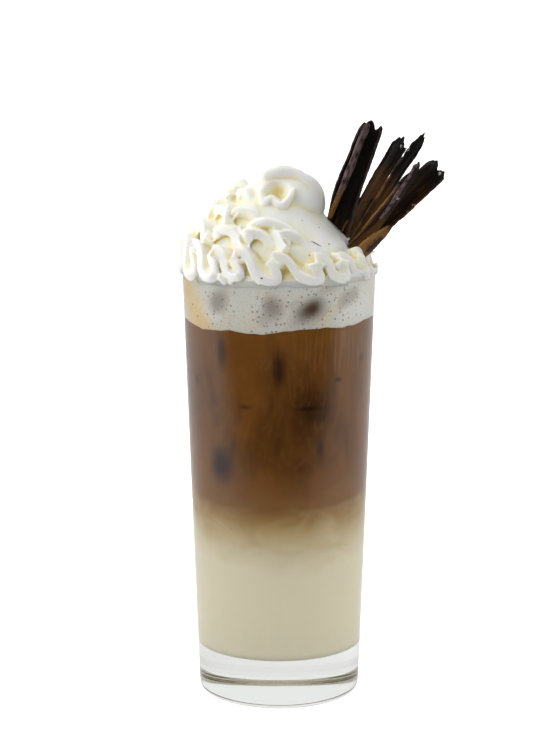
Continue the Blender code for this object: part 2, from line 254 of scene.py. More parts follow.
# Place, size and power of each lamp.
LAMPS = {
    "left_box": ((-1.00, -0.10, 0.50), (0.8, 0.8), 4.0),
    "right_box": ((1.00, -0.10, 0.40), (0.8, 0.8), 2.6),
    "top_box": ((-0.10, 0.25, 0.95), (0.8, 0.6), 1.8),
    "front_box": ((-0.45, -1.00, 0.55), (0.8, 0.8), 6.0),
}
TABLE_GLOW = 0.12
TABLE_DROP = -0.3 * MM
TABLE_BRIGHT_FROM = -0.08
TABLE_DIM_AT = -0.36
TABLE_BRIGHT = 0.75
TABLE_DIM = 0.06
TABLE_SEEN_THROUGH_GLASS = 0.68
TABLE_REACH = 20
LIT_HEIGHT = 0.11
SMOOTH = {"interpolation_type": "SMOOTHSTEP"}


def grey(level):
    return (level, level, level, 1)


scene = bpy.context.scene
scene.view_settings.view_transform = "Standard"
scene.world = bpy.data.worlds.new("white_room")
scene.world.use_nodes = True
sky = scene.world.node_tree
sky.nodes.clear()
towards = axes(sky, add(sky, "ShaderNodeTexCoord").outputs["Generated"])
leftwards = spread(sky, towards["X"], 0.1, -1.0, 0.0, ROOM_LEFT, **SMOOTH)
frontwards = spread(sky, towards["Y"], 0.15, -0.9, 0.0, ROOM_FRONT, **SMOOTH)
lit = calc(sky, "ADD", calc(sky, "ADD", leftwards, frontwards), ROOM)
rays = add(sky, "ShaderNodeLightPath").outputs
sideways = calc(sky, "POWER", towards["X"], 2.0)
on_drink = calc(sky, "MULTIPLY_ADD", sideways, ROOM_ON_DRINK_SIDES, ROOM_ON_DRINK)
bounced = calc(sky, "MINIMUM", rays["Diffuse Depth"], 1.0)
inside = between(sky, bounced, ROOM_SEEN_THROUGH_GLASS, on_drink)
through = between(sky, rays["Is Transmission Ray"], lit, inside)
level = between(sky, rays["Is Camera Ray"], through, ROOM_TO_CAMERA)
room = add(sky, "ShaderNodeBackground", inputs={"Color": grey(1), "Strength": level})
add(sky, "ShaderNodeOutputWorld", inputs={"Surface": room})

for name, (place, size, watts) in LAMPS.items():
    lamp = placed(name, bpy.data.lights.new(name, "AREA"))
    lamp.data.shape = "RECTANGLE"
    lamp.data.size, lamp.data.size_y = size
    lamp.data.energy = watts
    lamp.location = place
    lamp.rotation_euler = (Vector((0, 0, LIT_HEIGHT)) - Vector(place)).to_track_quat("-Z", "Y").to_euler()
    lamp.visible_glossy = False
    lamp.visible_transmission = False

table_finish, t, table_shader = finish_named(
    "white_table", Roughness=0.9, Specular_IOR_Level=0.0, Emission_Color=grey(1))
away = axes(t, add(t, "ShaderNodeTexCoord").outputs["Object"])["Y"]
near = spread(t, away, TABLE_DIM_AT, TABLE_BRIGHT_FROM, **SMOOTH)
rays = add(t, "ShaderNodeLightPath").outputs
lit = mixed(t, near, grey(TABLE_DIM), grey(TABLE_BRIGHT))
white = mixed(t, rays["Is Transmission Ray"], lit, grey(TABLE_SEEN_THROUGH_GLASS))
shown = calc(t, "ADD", rays["Is Camera Ray"], calc(t, "MULTIPLY", near, TABLE_GLOW))
fill(t, table_shader, {"Base Color": white, "Emission Strength": shown})
corners = ((-1, -1), (1, -1), (1, 1), (-1, 1))
corners = [(x * TABLE_REACH, y * TABLE_REACH, TABLE_DROP) for x, y in corners]
table = mesh_object("table", corners, [(0, 1, 2, 3)], table_finish)
print(len(LAMPS), "lamps")

# %% [markdown]
# ## Glass
#
# The tumbler is pressed soda-lime glass: clear, a touch green in the thick base, with a fire-polished lip.
# A profile is turned round the axis by the Screw modifier, as on a lathe. Its inner bottom corner is small,
# and that is what draws the dark line through the base.

# %% Soda-lime glass
soda_lime, _, _ = finish_named(
    "soda_lime_glass", Base_Color=paint("#fbfdfc"), Roughness=0.0, IOR=1.51, Transmission_Weight=1.0)


def round_corner(centre, radius, start, end, steps):
    """Points of an arc in the plane of the profile, from one angle to another in degrees."""
    angles = np.radians(np.linspace(start, end, steps + 1))
    return [(centre[0] + radius * math.cos(a), centre[1] + radius * math.sin(a)) for a in angles]


def turned(name, profile, steps, finish):
    """A profile of (radius, height), from axis to axis, turned into a closed piece by the Screw modifier."""
    line = bpy.data.meshes.new(name)
    line.from_pydata([(r, 0, z) for r, z in profile], [(i, i + 1) for i in range(len(profile) - 1)], [])
    piece = placed(name, line)
    modify(piece, "SCREW", steps=steps, render_steps=steps, use_merge_vertices=True,
           merge_threshold=0.01 * MM, use_normal_calculate=True)
    baked(piece)
    piece.data.shade_smooth()
    piece.data.materials.append(finish)
    return piece


GLASS_AROUND = 192
lip = WALL_AT_RIM / 2
corner_z = BASE_THICKNESS + INNER_CORNER
corner_r = inner_radius(corner_z) - INNER_CORNER
walls = [z * MM for z in (20, 50, 80, 110, 140)]
profile = [(0, 0), (FOOT_RADIUS * 0.6, 0)]
profile += round_corner((FOOT_RADIUS - HEEL_RADIUS, HEEL_RADIUS), HEEL_RADIUS, -90, 0, 12)
profile += [(outer_radius(z), z) for z in walls]
profile += round_corner((RIM_RADIUS - lip, GLASS_HEIGHT - lip), lip, 0, 180, 12)
profile += [(inner_radius(z), z) for z in reversed(walls)]
profile += round_corner((corner_r, corner_z), INNER_CORNER, 0, -90, 10)
profile += [(corner_r * 0.6, BASE_THICKNESS), (0, BASE_THICKNESS)]
glass = turned("clear_glass", profile, GLASS_AROUND, soda_lime)
print("glass", triangles(glass), "triangles")

# %% [markdown]
# ## Drink
#
# Milk, coffee and the blend between them are one body of liquid, so they are one piece, which reaches just
# into the wall of the glass and leaves no air between. The ice that floats in it shows only as soft dark
# marks where a cube nears the wall. Each mark has a place round the glass, a height and a size, and it is
# stored on the surface as a number from 0 to 1 that the material reads.

# %% Surface of the drink
INTO_WALL = 0.15 * MM
INTO_BASE = 0.1 * MM
DRINK_AROUND = 256
DRINK_UP = 300
# Degrees round the glass from its right side, and how far the coffee's top is above its mean level, in mm.
FOAM_EDGE = (
    (-180, 1.2), (-165, 1.3), (-155, 0.4), (-142, -0.6), (-130, -0.1), (-121, 0.4), (-111, -0.3),
    (-103, -0.6), (-92, 0.1), (-82, 1.0), (-72, 1.1), (-61, 1.4), (-49, 0.8), (-36, 1.2), (-27, 1.9),
    (-17, 2.3), (0, 1.8), (20, 0.6), (38, 0.2), (55, 1.1), (70, 0.9), (92, -0.4), (108, 0.1), (125, 1.0),
    (140, 0.3), (160, 0.5), (180, 1.2),
)


def foam_wave(angle):
    """How far the coffee's top stands above its mean level, with a small ripple."""
    degrees = np.degrees((angle + math.pi) % (2 * math.pi) - math.pi)
    mean = sum(np.interp((degrees + d + 180) % 360 - 180, *zip(*FOAM_EDGE)) for d in (-3, 0, 3)) / 3
    return (mean + 0.10 * np.sin(23 * angle) + 0.06 * np.sin(41 * angle + 1)) * MM


def filled_ring(name, around, heights, radius_at, finish):
    """A closed body of liquid. heights is one row of heights for each level, and radius_at(z) its radius."""
    angles = np.arange(around) * 2 * math.pi / around
    rows = []
    for z in heights:
        r = radius_at(z)
        rows.append(np.stack([r * np.cos(angles), r * np.sin(angles), z * np.ones(around)], axis=1))
    middles = [(0, 0, float(np.mean(heights[end]))) for end in (0, -1)]
    points = list(np.concatenate(rows)) + middles
    last = len(heights) - 1
    bottom, top = around * len(heights), around * len(heights) + 1
    faces = []
    for k in range(around):
        n = (k + 1) % around
        faces.append((bottom, n, k))
        faces.append((top, last * around + k, last * around + n))
        faces += [(row * around + k, row * around + n, (row + 1) * around + n, (row + 1) * around + k)
                  for row in range(last)]
    return mesh_object(name, points, faces, finish)


def store(obj, name, values):
    """Keeps one number for each point of the mesh, for its material."""
    kept = obj.data.attributes.new(name, "FLOAT", "POINT")
    kept.data.foreach_set("value", np.asarray(values, dtype=np.float32))


def read(items, name, width, kind=np.float32):
    """One property of all points or edges of a mesh, as rows of numbers."""
    flat = np.empty(len(items) * width, dtype=kind)
    items.foreach_get(name, flat)
    return flat.reshape(-1, width)


def points_of(obj):
    return read(obj.data.vertices, "co", 3).astype(float)


ring = np.arange(DRINK_AROUND) * 2 * math.pi / DRINK_AROUND
low = BASE_THICKNESS - INTO_BASE
levels = []
for step in np.linspace(0, 1, DRINK_UP):
    levels.append(low + (COFFEE_TOP - low) * step + foam_wave(ring) * step ** 8)


def drink_radius(z):
    """The wall of the glass, and its rounded corner at the bottom."""
    up = np.clip((corner_z - z) / INNER_CORNER, 0, 1)
    return inner_radius(np.maximum(z, corner_z)) + INTO_WALL - INNER_CORNER * (1 - np.sqrt(1 - up * up))


print(len(levels), "levels, the highest", round(1000 * float(np.max(levels[-1])), 1), "mm up")

# %% [markdown]
# ### Milk and coffee
#
# Whole milk is cream-white and scatters light, so it looks soft. Coffee with a little milk in it is a deep
# red-brown that turns amber where it is thin. Where the two meet, the blend rises in slow clouds over about
# 40 mm. The colour follows the height, and noise shifts that height so that the border drifts. At the left
# and the right the border is painted higher, as painted light, so that these sides look lighter. Deep shade,
# thin wisps and the pale strands that hang under the foam are laid over it.

# %% Milk and coffee finish
SIDE_LIGHT_CLIMB = 4.5 * MM
CLOUD_LIFT = 14 * MM
BLEND = (57 * MM, 97 * MM)
COFFEE = (78 * MM, 100 * MM)
drink_finish, t, drink_shader = finish_named(
    "milk_and_coffee", Roughness=0.35, Specular_IOR_Level=0.0, Subsurface_Weight=0.35, Subsurface_Scale=1.0,
    Subsurface_Radius=(4 * MM, 2.6 * MM, 1.6 * MM))
place = add(t, "ShaderNodeTexCoord").outputs["Object"]
here = axes(t, place)
clouds = noisy(t, scaled(t, place, (1, 1, 1.6)), 55.0, 5.0, Distortion=0.8)
# Painted light: the milk's border rises towards the left and the right, so that those sides look lighter.
side_light_climb = calc(t, "POWER", here["X"], 2.0)
risen = calc(t, "MULTIPLY_ADD", side_light_climb, -SIDE_LIGHT_CLIMB / RIM_RADIUS ** 2, here["Z"])
drift = calc(t, "MULTIPLY_ADD", clouds, CLOUD_LIFT, risen)
layers = ramp(t, spread(t, drift, *BLEND), (0, "#faf0d6"), (0.17, "#ede2c4"), (0.35, "#dac698"),
              (0.49, "#bc9a62"), (0.62, "#9a6d36"), (0.8, "#91602a"), (1, "#8d5a20"))
in_coffee = spread(t, drift, *COFFEE, **SMOOTH)

upright = scaled(t, place, (1, 1, 0.5))
broad = noisy(t, upright, 48.0, 4.0, Distortion=1.5)
deep = calc(t, "ADD", spread(t, broad, 0.30, 0.75, -0.3, 0.5), stored(t, "shadow"), use_clamp=True)
darker = mixed(t, calc(t, "MULTIPLY", deep, in_coffee), layers, "#45260b")
wisps = spread(t, noisy(t, upright, 150.0, 5.0, Distortion=3.0), 0.50, 0.72, 0.0, 0.2)
wisped = mixed(t, calc(t, "MULTIPLY", wisps, in_coffee), darker, "#a07038")
strands = spread(t, noisy(t, scaled(t, place, (1, 1, 0.05)), 900.0, 2.0), 0.45, 0.65, 0.0, 0.4)
streaked = mixed(t, calc(t, "MULTIPLY", strands, stored(t, "streaks")), wisped, "#a98252")
marked = mixed(t, stored(t, "ice"), streaked, "#34120a")
fill(t, drink_shader, {"Base Color": marked})

drink = filled_ring("milk_and_coffee", DRINK_AROUND, levels, drink_radius, drink_finish)

# Ice marks: degrees round the glass from its right side, height, half width and half height in millimetres,
# and how dark each is, from 0 to 1.
ICE_IN_COFFEE = (
    (-131, 89.8, 4.6, 6.4, 1.0), (-128, 131.5, 2.0, 6.2, 0.75), (-90, 125.5, 2.0, 6.2, 0.85),
    (-62, 97.0, 1.7, 4.6, 0.60), (-153, 119.5, 1.5, 1.6, 0.60), (-112, 112.0, 2.6, 0.8, 0.50),
    (-71, 111.5, 4.2, 0.9, 0.80), (-50, 121.0, 1.8, 0.8, 0.60), (-27, 127.5, 2.2, 1.4, 0.50),
    (60, 100, 4, 6, 0.6), (110, 122, 3, 5, 0.6), (160, 105, 4, 4, 0.6), (20, 108, 3, 3, 0.5),
)


def soft_marks(points, marks, tilt=0.0):
    """How dark each point is under soft oval marks on the wall. With tilt they rise to the right."""
    angle = np.degrees(np.arctan2(points[:, 1], points[:, 0]))
    radius = np.hypot(points[:, 0], points[:, 1])
    total = np.zeros(len(points))
    for where, high, wide, tall, depth in marks:
        across = np.radians((angle - where + 180) % 360 - 180) * radius / MM
        up = points[:, 2] / MM - high - tilt * across
        total = np.maximum(total, depth * np.exp(-((across / wide) ** 2 + (up / tall) ** 2) ** 1.3))
    return total


# Deep shade between the cubes, and streaks under the foam, written in the same way.
SHADE_IN_COFFEE = (
    (-79, 106, 16, 20, 0.65), (-92, 120, 9, 12, 0.40), (-98, 95, 12, 9, 0.40), (-118, 110, 5, 9, 0.2),
    (20, 112, 13, 26, 0.6), (75, 118, 11, 18, 0.5), (130, 106, 14, 22, 0.6), (180, 116, 9, 16, 0.4),
)
STREAKS_IN_COFFEE = (
    (-48, 132, 22, 8, 1.0), (-85, 130, 8, 6, 0.4), (60, 130, 20, 8, 1.0), (150, 131, 14, 7, 0.8),
)
for name, marks in (("streaks", STREAKS_IN_COFFEE), ("ice", ICE_IN_COFFEE), ("shadow", SHADE_IN_COFFEE)):
    store(drink, name, soft_marks(points_of(drink), marks))
print("drink", triangles(drink), "triangles,", len(ICE_IN_COFFEE), "ice marks")

# %% [markdown]
# ### Foam
#
# Milk foam is a pale grey cream full of bubbles from 0.2 to 1 mm. Seen through the wall, most are tiny dark
# dots, and the larger ones gather round the ice. Honey-coloured coffee crema stains it on the left. Soft dark
# marks show the ice near the wall, and painted shadow of the cream darkens the foam just under it at the
# front. Two Voronoi patterns draw the bubbles at their real sizes.

# %% Foam finish
foam_finish, t, foam_shader = finish_named(
    "milk_foam", Roughness=0.6, Specular_IOR_Level=0.05, Subsurface_Weight=0.4, Subsurface_Scale=1.0,
    Subsurface_Radius=(2 * MM, 1.6 * MM, 1.2 * MM))
place = add(t, "ShaderNodeTexCoord").outputs["Object"]
body = mixed(t, noisy(t, place, 120.0, 4.0), "#fffefa", "#f6f1e6")
honey = mixed(t, stored(t, "crema"), body, "#ffe0a4")
# The ice marks, which also carry painted shadow of the cream, darken the foam.
ice_and_shadow_marked = mixed(t, stored(t, "ice"), honey, "#624636")
fine = add(t, "ShaderNodeTexVoronoi", inputs={"Vector": place, "Scale": 1400.0})
fine_dot = spread(t, fine.outputs["Distance"], 0.10, 0.32, 0.35, 0.0)
large = add(t, "ShaderNodeTexVoronoi", inputs={"Vector": place, "Scale": 640.0})
large_dot = spread(t, large.outputs["Distance"], 0.16, 0.32, 0.6, 0.0)
pick = add(t, "ShaderNodeSeparateColor", inputs={0: large.outputs["Color"]})
chosen = calc(t, "LESS_THAN", pick, stored(t, "bubbles"))
dots = calc(t, "MAXIMUM", fine_dot, calc(t, "MULTIPLY", large_dot, chosen))
fill(t, foam_shader, {"Base Color": mixed(t, dots, ice_and_shadow_marked, "#6f5a43")})

# Dark marks in the foam: ice near the wall, partly enlarged to carry painted shadow of the cream. The wide
# flat band just under the cream is painted shadow alone.
ICE_AND_SHADOW_IN_FOAM = (
    (-130, 148.8, 3.6, 4.6, 0.62), (-94, 147.3, 4.2, 4.6, 0.55), (-71, 147.0, 5.4, 4.2, 1.0),
    (-42, 150.5, 4.4, 3.6, 0.55), (-66, 152.3, 12, 2.0, 0.3), (30, 148, 4, 4, 0.6), (90, 146, 5, 3, 0.6),
    (150, 149, 4, 4, 0.5),
)
ICE_TILT = 0.35
FOAM_INTO_COFFEE = 0.15 * MM
FOAM_AROUND = 2 * DRINK_AROUND
FOAM_UP = 90
CREMA_LEFT = -163
CREMA_RIGHT = 20


def finer(row):
    """A row of heights at twice as many places round the glass."""
    return np.interp(np.arange(FOAM_AROUND) / 2, np.arange(DRINK_AROUND + 1), np.append(row, row[0]))


foam_low = COFFEE_TOP + foam_wave(ring) - FOAM_INTO_COFFEE
foam_levels = [finer(foam_low + (FOAM_TOP - foam_low) * step) for step in np.linspace(0, 1, FOAM_UP)]
foam = filled_ring("milk_foam", FOAM_AROUND, foam_levels, lambda z: inner_radius(z) + INTO_WALL, foam_finish)
spots = points_of(foam)
angle = np.degrees(np.arctan2(spots[:, 1], spots[:, 0]))
up = spots[:, 2] / MM
streak = np.exp(-(((angle - CREMA_LEFT + (up - 150) * 1.6) / 15) ** 2))
streak += 0.6 * np.exp(-(((angle - CREMA_RIGHT) / 14) ** 2))
wavy = np.array([noise.noise(Vector(p) * 160) for p in spots])
marks = soft_marks(spots, ICE_AND_SHADOW_IN_FOAM, tilt=ICE_TILT)
store(foam, "crema", np.clip(streak + 0.35 * wavy, 0, 0.9))
store(foam, "ice", np.clip(marks + 0.25 * wavy * (marks > 0.05), 0, 1))
wide_marks = [(where, high - 1, 2 * wide, 2 * tall, 1.0) for where, high, wide, tall, _ in ICE_AND_SHADOW_IN_FOAM]
store(foam, "bubbles", np.clip(0.05 + 0.85 * soft_marks(spots, wide_marks, tilt=ICE_TILT), 0, 1))
print("foam", triangles(foam), "triangles")

# %% [markdown]
# ## Whipped cream
#
# The cream is piped round and round: a ribbon whose free edge folds up and down in loops, tier upon tier,
# under a smooth crown with a curl on top. Each ribbon follows one rule, so a Geometry Nodes tree makes it
# from named sizes: a flat grid is bent into a ring, its outer edge swings with a sine, and the loops lean.
# The grid is thickened into a closed shell. All shells are then fused by a fine voxel remesh and softened,
# as cream does when it settles.

# %% A ribbon of piped cream
RIBBON_SIZES = (
    "Folds", "Start", "Sweep", "Root", "Edge", "Height", "Drape", "Dip", "Tuck", "Rise", "Lean", "Loop",
    "Uneven", "Seed", "Thick Root", "Thick Edge", "Middle X", "Middle Y",
)


def ribbon_tree(finish):
    """The rule of a ribbon: a flat grid, bent into a ring with a looping edge, and thickened."""
    t = bpy.data.node_groups.new("piped ribbon", "GeometryNodeTree")
    t.interface.new_socket("Geometry", in_out="OUTPUT", socket_type="NodeSocketGeometry")
    for name in RIBBON_SIZES:
        t.interface.new_socket(name, in_out="INPUT", socket_type="NodeSocketFloat")
    t.interface.new_socket("Steps", in_out="INPUT", socket_type="NodeSocketInt")
    size = add(t, "NodeGroupInput").outputs

    grid = add(t, "GeometryNodeMeshGrid", inputs={
        "Size X": 1.0, "Size Y": 1.0, "Vertices X": 14, "Vertices Y": size["Steps"]})
    flat = axes(t, add(t, "GeometryNodeInputPosition"))
    across = calc(t, "ADD", flat["X"], 0.5, use_clamp=True)
    along = calc(t, "ADD", flat["Y"], 0.5)

    # Four slow random numbers along the ribbon: for the phase, the rise, the radius and the height.
    count = calc(t, "MULTIPLY", along, size["Folds"])
    slow = calc(t, "MULTIPLY", count, 0.42)
    chance = []
    for offset in (0.0, 3.1, 6.7, 9.2):
        spot = add(t, "ShaderNodeCombineXYZ", inputs={0: slow, 1: calc(t, "ADD", size["Seed"], offset)})
        wander = add(t, "ShaderNodeTexNoise", {"noise_dimensions": "2D", "normalize": False},
                     {"Vector": spot, "Scale": 1.0, "Detail": 1.0})
        chance.append(calc(t, "MULTIPLY", wander, size["Uneven"]))

    # The free edge swings up and down with a sine.
    phase = calc(t, "MULTIPLY", calc(t, "MULTIPLY_ADD", chance[0], 0.35, count), 2 * math.pi)
    swing = calc(t, "SINE", phase)
    twice = calc(t, "SINE", calc(t, "MULTIPLY", phase, 2.0))
    reach = calc(t, "MULTIPLY_ADD", calc(t, "MULTIPLY", chance[1], size["Rise"]), 0.55, size["Rise"])
    growth = calc(t, "POWER", across, 1.2)
    grown_swing = calc(t, "MULTIPLY", calc(t, "MULTIPLY", reach, swing), growth)

    # It leans along the ring, so that the folds close into loops.
    leant = calc(t, "MULTIPLY_ADD", swing, size["Lean"], calc(t, "MULTIPLY", twice, size["Loop"]))
    aside = calc(t, "MULTIPLY", leant, calc(t, "MULTIPLY", across, across))
    turn = calc(t, "MULTIPLY_ADD", along, size["Sweep"], size["Start"])
    bearing = calc(t, "SUBTRACT", turn, calc(t, "DIVIDE", aside, size["Edge"]))
    width = calc(t, "SUBTRACT", size["Edge"], size["Root"])
    bulge = calc(t, "MULTIPLY_ADD", grown_swing, size["Tuck"],
                 calc(t, "MULTIPLY_ADD", across, width, size["Root"]))
    radius = calc(t, "MULTIPLY_ADD", across, calc(t, "MULTIPLY", chance[2], 1.2 * MM), bulge)
    x = calc(t, "MULTIPLY_ADD", radius, calc(t, "COSINE", bearing), size["Middle X"])
    y = calc(t, "MULTIPLY_ADD", radius, calc(t, "SINE", bearing), size["Middle Y"])

    # The root lies higher than the edge, and the whole ribbon dips on the right.
    lifted = calc(t, "ADD", grown_swing, size["Height"])
    jittered = calc(t, "MULTIPLY_ADD", across, calc(t, "MULTIPLY", chance[3], 0.9 * MM), lifted)
    draped = calc(t, "MULTIPLY_ADD", calc(t, "SUBTRACT", 1.0, across), size["Drape"], jittered)
    rightwards = spread(t, x, -12 * MM, 16 * MM, **SMOOTH)
    high = calc(t, "MULTIPLY_ADD", rightwards, calc(t, "MULTIPLY", size["Dip"], -1.0), draped)
    place = add(t, "ShaderNodeCombineXYZ", inputs={0: x, 1: y, 2: high})

    thick = between(t, across, size["Thick Root"], size["Thick Edge"])
    kept = add(t, "GeometryNodeStoreNamedAttribute", {"data_type": "FLOAT", "domain": "POINT"},
               {"Geometry": grid, "Name": "thick", "Value": thick})
    bent = add(t, "GeometryNodeSetPosition", inputs={"Geometry": kept, "Position": place})
    half = add(t, "GeometryNodeInputNamedAttribute", {"data_type": "FLOAT"}, {"Name": "thick"})
    normal = add(t, "GeometryNodeInputNormal")
    inward = add(t, "ShaderNodeVectorMath", {"operation": "SCALE"}, {0: normal, "Scale": half})
    back = add(t, "ShaderNodeVectorMath", {"operation": "SCALE"}, {0: inward, "Scale": -0.5})
    centred = add(t, "GeometryNodeSetPosition", inputs={"Geometry": bent, "Offset": back})
    front = add(t, "GeometryNodeExtrudeMesh", {"mode": "FACES"},
                {"Mesh": centred, "Offset": inward, "Offset Scale": 1.0, "Individual": False})
    both = add(t, "GeometryNodeJoinGeometry", inputs={0: front})
    rear = add(t, "GeometryNodeFlipFaces", inputs={"Mesh": centred})
    t.links.new(rear.outputs[0], both.inputs[0])
    shell = add(t, "GeometryNodeMergeByDistance", inputs={"Geometry": both, "Distance": 0.001 * MM})
    done = add(t, "GeometryNodeSetMaterial", inputs={"Geometry": shell, "Material": finish})
    add(t, "NodeGroupOutput", inputs={0: done})
    return t


def grown(name, tree, sizes):
    """A plain mesh from a Geometry Nodes tree, with its inputs set by their sockets' identifiers."""
    piece = mesh_object(name, [(0, 0, 0)], [])
    modifier = modify(piece, "NODES", node_group=tree)
    for item in tree.interface.items_tree:
        if item.in_out == "INPUT" and item.name in sizes:
            modifier[item.identifier] = sizes[item.name]
    return baked(piece)


# Tiers from the rim upwards: start and sweep in degrees, then root, edge, height of the hem, drape, dip on
# the right, rise, lean, period and thickness of the hem in millimetres, the middle of the ring, and a seed.
TIERS = (
    (0, 361, 30.0, 34.5, 157.5, 0.5, 0.0, 0.6, 0.6, 15.0, 2.4, (-0.3, 0), 77.0),
    (90, 361, 22.0, 35.5, 163.0, 1.5, 1.6, 4.9, 3.0, 12.5, 3.2, (-1.5, 0), 0.0),
    (-62, -250, 16.0, 27.6, 170.8, 2.5, 4.0, 3.6, 2.6, 13.0, 3.5, (-3.2, 0), 21.0),
    (-105, -200, 11.0, 20.8, 177.6, 2.5, 2.0, 2.8, 2.0, 12.5, 3.6, (-3.6, 1), 42.0),
    (-125, -165, 6.0, 15.6, 183.2, 2.0, 0.0, 2.0, 1.4, 11.5, 3.6, (-2.4, 2), 57.0),
)
TUCK = -0.2
LOOP = 0.14
UNEVEN = 1.1
STEPS_IN_FOLD = 40
ROOT_THICKER = 1.4
cream_finish, cream_tree, cream_shader = finish_named("whipped_cream")
piped = ribbon_tree(cream_finish)
cream_shapes = []
for number, tier in enumerate(TIERS):
    start, sweep, root, edge, height, drape, dip, rise, lean, period, hem, middle, seed = tier
    folds = round(abs(math.radians(sweep)) * edge / period)
    lengths = {
        "Root": root, "Edge": edge, "Height": height, "Drape": drape, "Dip": dip, "Rise": rise, "Lean": lean,
        "Loop": math.copysign(1.0, sweep) * LOOP * period, "Thick Root": hem + ROOT_THICKER,
        "Thick Edge": hem, "Middle X": middle[0], "Middle Y": middle[1],
    }
    cream_shapes.append(grown(f"tier_{number}", piped, {
        **{name: length * MM for name, length in lengths.items()},
        "Folds": float(folds), "Start": math.radians(start), "Sweep": math.radians(sweep), "Tuck": TUCK,
        "Uneven": UNEVEN, "Seed": seed, "Steps": folds * STEPS_IN_FOLD + 1}))
print("tiers", [triangles(made) for made in cream_shapes], "triangles")

# %% [markdown]
# ### Core, crown and smooth folds
#
# Under the ribbons the mound is solid. Its outline is turned like a pot, and leans left and then back as it
# rises. Where the nozzle moved slowly the cream is smooth: the crown, the slope that the bark stands in,
# and the folds, which are round ropes laid through a few points.

# %% Core, masses and folds
# Radius, height and how far to the right the middle lies, in millimetres.
CORE_OUTLINE = (
    (34.4, 157.2, -0.2), (32.4, 158.8, -0.6), (30.2, 161.0, -1.0), (29.4, 164.0, -1.8), (28.2, 168.0, -2.6),
    (24.6, 171.6, -3.2), (21.6, 175, -3.4), (18.6, 178.4, -3.6), (15.4, 181.4, -3.0), (13.4, 184.4, -1.8),
    (10.8, 187.4, -0.4), (7.4, 190, 1.0),
)
# Name, middle and half sizes in millimetres, and tilt in degrees.
MASSES = (
    ("crown", (5.2, 0, 181.5), (11.6, 12.0, 11.4), 15),
    ("slope", (9, -10, 166), (12.5, 12, 8.5), 38),
)
# Name, points and the radius of the rope at each, in millimetres.
FOLDS = (
    ("curl", ((-4.0, -4.5, 189.2), (-4.4, -5.0, 191.6), (0, -5.5, 192.9), (5.5, -5.6, 192.0),
              (10.5, -6.5, 189.0), (13, -7.5, 183.5)), (1.8, 2.2, 2.4, 2.4, 2.2, 1.4)),
    ("crease", ((-7, -11.8, 187), (-5, -14.0, 182.6), (-2.6, -14.1, 184.7), (0.6, -14.6, 181.4),
                (3.4, -14.2, 184.2), (5.5, -12.4, 188)), (1.2, 1.7, 1.4, 1.7, 1.6, 1.0)),
    ("sweep", ((-10.5, -20.5, 170), (-9.5, -21.5, 174.8), (-4, -22.6, 176.6), (3.6, -23, 173.2),
               (10.4, -23.5, 166.6), (15.5, -22.5, 162)), (1.4, 1.8, 2.0, 2.0, 1.9, 1.4)),
)


def smooth_path(knots, steps):
    """Points on a smooth curve through the knots."""
    knots = np.array(knots, dtype=float)
    ends = np.vstack([2 * knots[0] - knots[1], knots, 2 * knots[-1] - knots[-2]])
    path = []
    for t in np.linspace(0, len(knots) - 1, steps):
        i = min(int(t), len(knots) - 2)
        f = t - i
        a, b, c, d = ends[i:i + 4]
        curved = (2 * a - 5 * b + 4 * c - d) * f**2 + (3 * b - a - 3 * c + d) * f**3
        path.append(0.5 * (2 * b + (c - a) * f + curved))
    return np.array(path)


def rope(name, knots, radii):
    """A round rope through the knots, in millimetres, as thick at each as radii say."""
    curve = bpy.data.curves.new(name, "CURVE")
    curve.dimensions = "3D"
    curve.bevel_depth = 1.0
    curve.bevel_resolution = 6
    curve.use_fill_caps = True
    steps = 10 * len(knots)
    path = smooth_path(knots, steps) * MM
    thick = smooth_path([(r, 0, 0) for r in radii], steps)[:, 0] * MM
    ends = np.minimum(1, np.minimum(np.arange(steps), np.arange(steps)[::-1]) / 4 + 0.15)
    line = curve.splines.new("POLY")
    line.points.add(steps - 1)
    for point, spot, r in zip(line.points, path, thick * np.sqrt(ends)):
        point.co = (*spot, 1)
        point.radius = r
    curve_object = placed(name, curve)
    mesh = bpy.data.meshes.new_from_object(curve_object)
    bpy.data.objects.remove(curve_object)
    return placed(name, mesh)


def mass(name, centre, radii, tilt):
    """A smooth ellipsoid, turned by tilt degrees as seen from the front."""
    rows, around = 24, 40
    a = math.radians(tilt)
    points, faces = [], []
    for i in range(rows + 1):
        b = math.pi * (i + 0.5) / (rows + 1)
        for k in range(around):
            c = 2 * math.pi * k / around
            x = radii[0] * math.sin(b) * math.cos(c)
            y = radii[1] * math.sin(b) * math.sin(c)
            z = radii[2] * math.cos(b)
            points.append(((centre[0] + x * math.cos(a) + z * math.sin(a)) * MM, (centre[1] + y) * MM,
                           (centre[2] - x * math.sin(a) + z * math.cos(a)) * MM))
    for i in range(rows):
        low, high = i * around, (i + 1) * around
        for k in range(around):
            n = (k + 1) % around
            faces.append((low + k, high + k, high + n, low + n))
    faces.append(tuple(range(around)))
    faces.append(tuple(rows * around + k for k in reversed(range(around))))
    return mesh_object(name, points, faces)


CREAM_INTO_WALL = 0.35 * MM
CREAM_FOOT = FOAM_TOP - 1 * MM
CORE_TOP = 191 * MM
CORE_AROUND = 96
outline = [(0, CREAM_FOOT), (inner_radius(FOAM_TOP) + CREAM_INTO_WALL, CREAM_FOOT)]
outline += [(inner_radius(GLASS_HEIGHT) + CREAM_INTO_WALL, GLASS_HEIGHT - 0.4 * MM)]
outline += [(r * MM, z * MM) for r, z, _ in CORE_OUTLINE] + [(0, CORE_TOP)]
core = turned("core", outline, CORE_AROUND, cream_finish)
_, core_heights, core_middles = zip(*CORE_OUTLINE)
for point in core.data.vertices:
    point.co.x += float(np.interp(point.co.z / MM, core_heights, core_middles)) * MM
cream_shapes += [core]
cream_shapes += [mass(*sizes) for sizes in MASSES]
cream_shapes += [rope(*sizes) for sizes in FOLDS]
print(len(cream_shapes), "shapes of cream")

